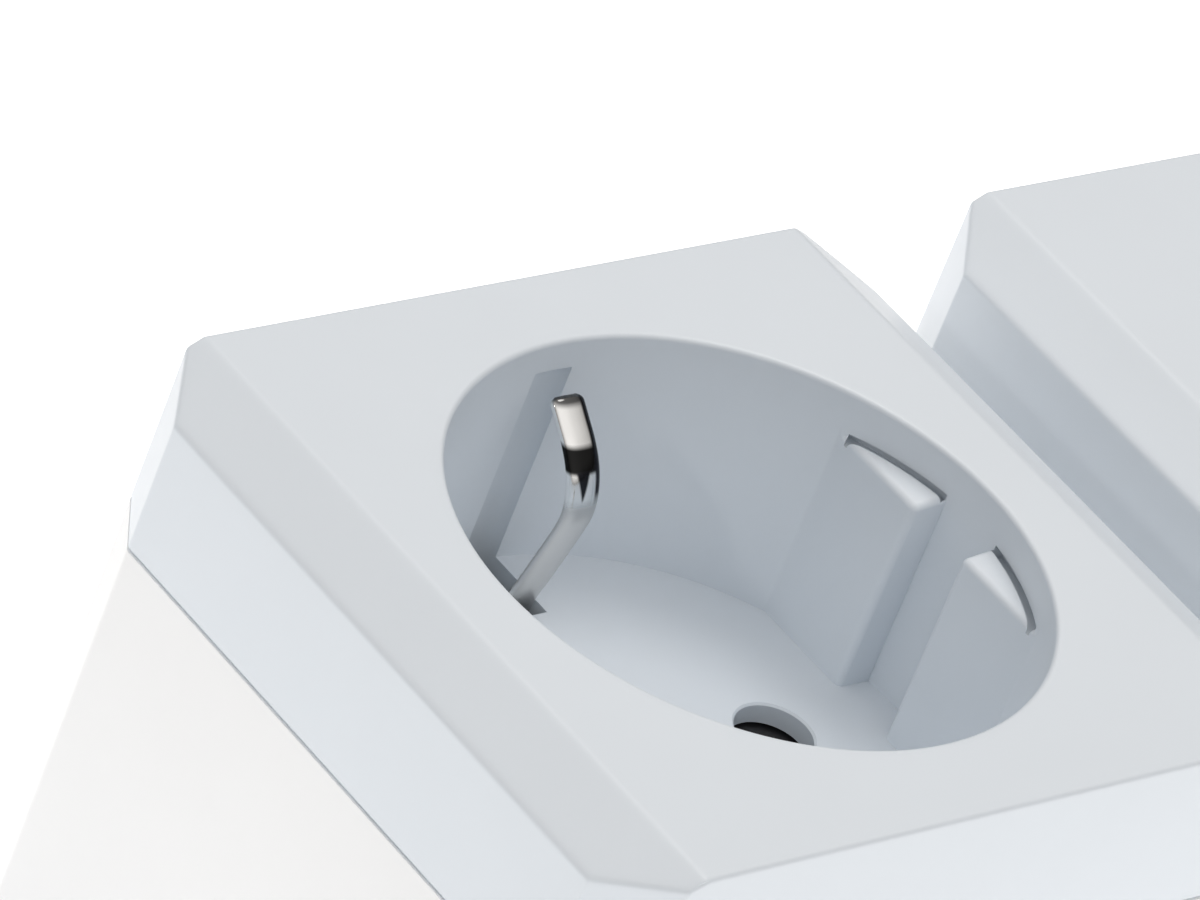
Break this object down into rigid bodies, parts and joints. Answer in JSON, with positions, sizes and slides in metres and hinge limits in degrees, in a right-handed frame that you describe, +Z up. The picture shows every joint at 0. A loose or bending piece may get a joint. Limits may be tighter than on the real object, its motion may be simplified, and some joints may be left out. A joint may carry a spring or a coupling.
{
  "type": "mains socket block",
  "caption": "Mains socket block with a row of raised towers, each with a recessed round well, sprung side earth clips and a turning safety shutter.",
  "frame": {"origin": "bottom centre of the block, on the surface that its feet stand on", "axes": "+X along the row of sockets towards the cord inlet, +Y to the back, +Z up"},
  "size_m": [0.1872, 0.0516, 0.042],
  "materials": {
    "cover_white": "satin moulded",
    "base_white": "satin moulded",
    "plate_grey": "fine texture",
    "gland_grey": "soft matte",
    "carrier_ivory": "matte thermoset",
    "shutter_black": "matte",
    "clip_nickel": "polished nickel plating",
    "bar_brass": "stamped",
    "contact_bronze": "stamped",
    "zinc_steel": "zinc plated",
    "spring_steel": "drawn wire",
    "foot_rubber": "matte"
  },
  "bodies": {
    "housing": {"base_housing": "base_white", "bottom_plate": "plate_grey", "cable_gland": "gland_grey", "cord_clamp": "plate_grey", "cover_screws": "zinc_steel", "carrier_screws": "zinc_steel", "plate_screws": "zinc_steel", "clamp_screws": "zinc_steel", "terminal_screws": "zinc_steel", "rubber_feet": "foot_rubber", "live_bus_bar": "bar_brass", "neutral_bus_bar": "bar_brass", "earth_bus_bar": "bar_brass", "socket_cover_1": "cover_white", "contact_carrier_1": "carrier_ivory", "shutter_spring_1": "spring_steel", "earth_yoke_1": "bar_brass", "live_contact_1": "contact_bronze", "neutral_contact_1": "contact_bronze", "socket_cover_2": "cover_white", "contact_carrier_2": "carrier_ivory", "shutter_spring_2": "spring_steel", "earth_yoke_2": "bar_brass", "live_contact_2": "contact_bronze", "neutral_contact_2": "contact_bronze", "socket_cover_3": "cover_white", "contact_carrier_3": "carrier_ivory", "shutter_spring_3": "spring_steel", "earth_yoke_3": "bar_brass", "live_contact_3": "contact_bronze", "neutral_contact_3": "contact_bronze"},
    "shutter_1": {"shutter_1": "shutter_black"},
    "shutter_2": {"shutter_2": "shutter_black"},
    "shutter_3": {"shutter_3": "shutter_black"},
    "earth_clip_back_1": {"earth_clip_back_1": "clip_nickel"},
    "earth_clip_back_2": {"earth_clip_back_2": "clip_nickel"},
    "earth_clip_back_3": {"earth_clip_back_3": "clip_nickel"},
    "earth_clip_front_1": {"earth_clip_front_1": "clip_nickel"},
    "earth_clip_front_2": {"earth_clip_front_2": "clip_nickel"},
    "earth_clip_front_3": {"earth_clip_front_3": "clip_nickel"}
  },
  "joints": [
    {"name": "shutter_turn_1", "type": "hinge", "parent": "housing", "child": "shutter_1", "pos_m": [-0.065, 0, 0.022], "axis": [0, 0, 1], "range_deg": [0, 38], "stiffness_Nm_per_rad": 0.005, "springref_deg": -11.46, "deforming": ["shutter_spring_1"]},
    {"name": "shutter_turn_2", "type": "hinge", "parent": "housing", "child": "shutter_2", "pos_m": [0, 0, 0.022], "axis": [0, 0, 1], "range_deg": [0, 38], "stiffness_Nm_per_rad": 0.005, "springref_deg": -11.46, "deforming": ["shutter_spring_2"]},
    {"name": "shutter_turn_3", "type": "hinge", "parent": "housing", "child": "shutter_3", "pos_m": [0.065, 0, 0.022], "axis": [0, 0, 1], "range_deg": [0, 38], "stiffness_Nm_per_rad": 0.005, "springref_deg": -11.46, "deforming": ["shutter_spring_3"]},
    {"name": "clip_flex_back_1", "type": "hinge", "parent": "housing", "child": "earth_clip_back_1", "pos_m": [-0.065, 0.0154, 0.01985], "axis": [-1, 0, 0], "range_deg": [0, 4], "stiffness_Nm_per_rad": 0.02, "springref_deg": -2.86},
    {"name": "clip_flex_back_2", "type": "hinge", "parent": "housing", "child": "earth_clip_back_2", "pos_m": [0, 0.0154, 0.01985], "axis": [-1, 0, 0], "range_deg": [0, 4], "stiffness_Nm_per_rad": 0.02, "springref_deg": -2.86},
    {"name": "clip_flex_back_3", "type": "hinge", "parent": "housing", "child": "earth_clip_back_3", "pos_m": [0.065, 0.0154, 0.01985], "axis": [-1, 0, 0], "range_deg": [0, 4], "stiffness_Nm_per_rad": 0.02, "springref_deg": -2.86},
    {"name": "clip_flex_front_1", "type": "hinge", "parent": "housing", "child": "earth_clip_front_1", "pos_m": [-0.065, -0.0154, 0.01985], "axis": [1, 0, 0], "range_deg": [0, 4], "stiffness_Nm_per_rad": 0.02, "springref_deg": -2.86},
    {"name": "clip_flex_front_2", "type": "hinge", "parent": "housing", "child": "earth_clip_front_2", "pos_m": [0, -0.0154, 0.01985], "axis": [1, 0, 0], "range_deg": [0, 4], "stiffness_Nm_per_rad": 0.02, "springref_deg": -2.86},
    {"name": "clip_flex_front_3", "type": "hinge", "parent": "housing", "child": "earth_clip_front_3", "pos_m": [0.065, -0.0154, 0.01985], "axis": [1, 0, 0], "range_deg": [0, 4], "stiffness_Nm_per_rad": 0.02, "springref_deg": -2.86}
  ]
}
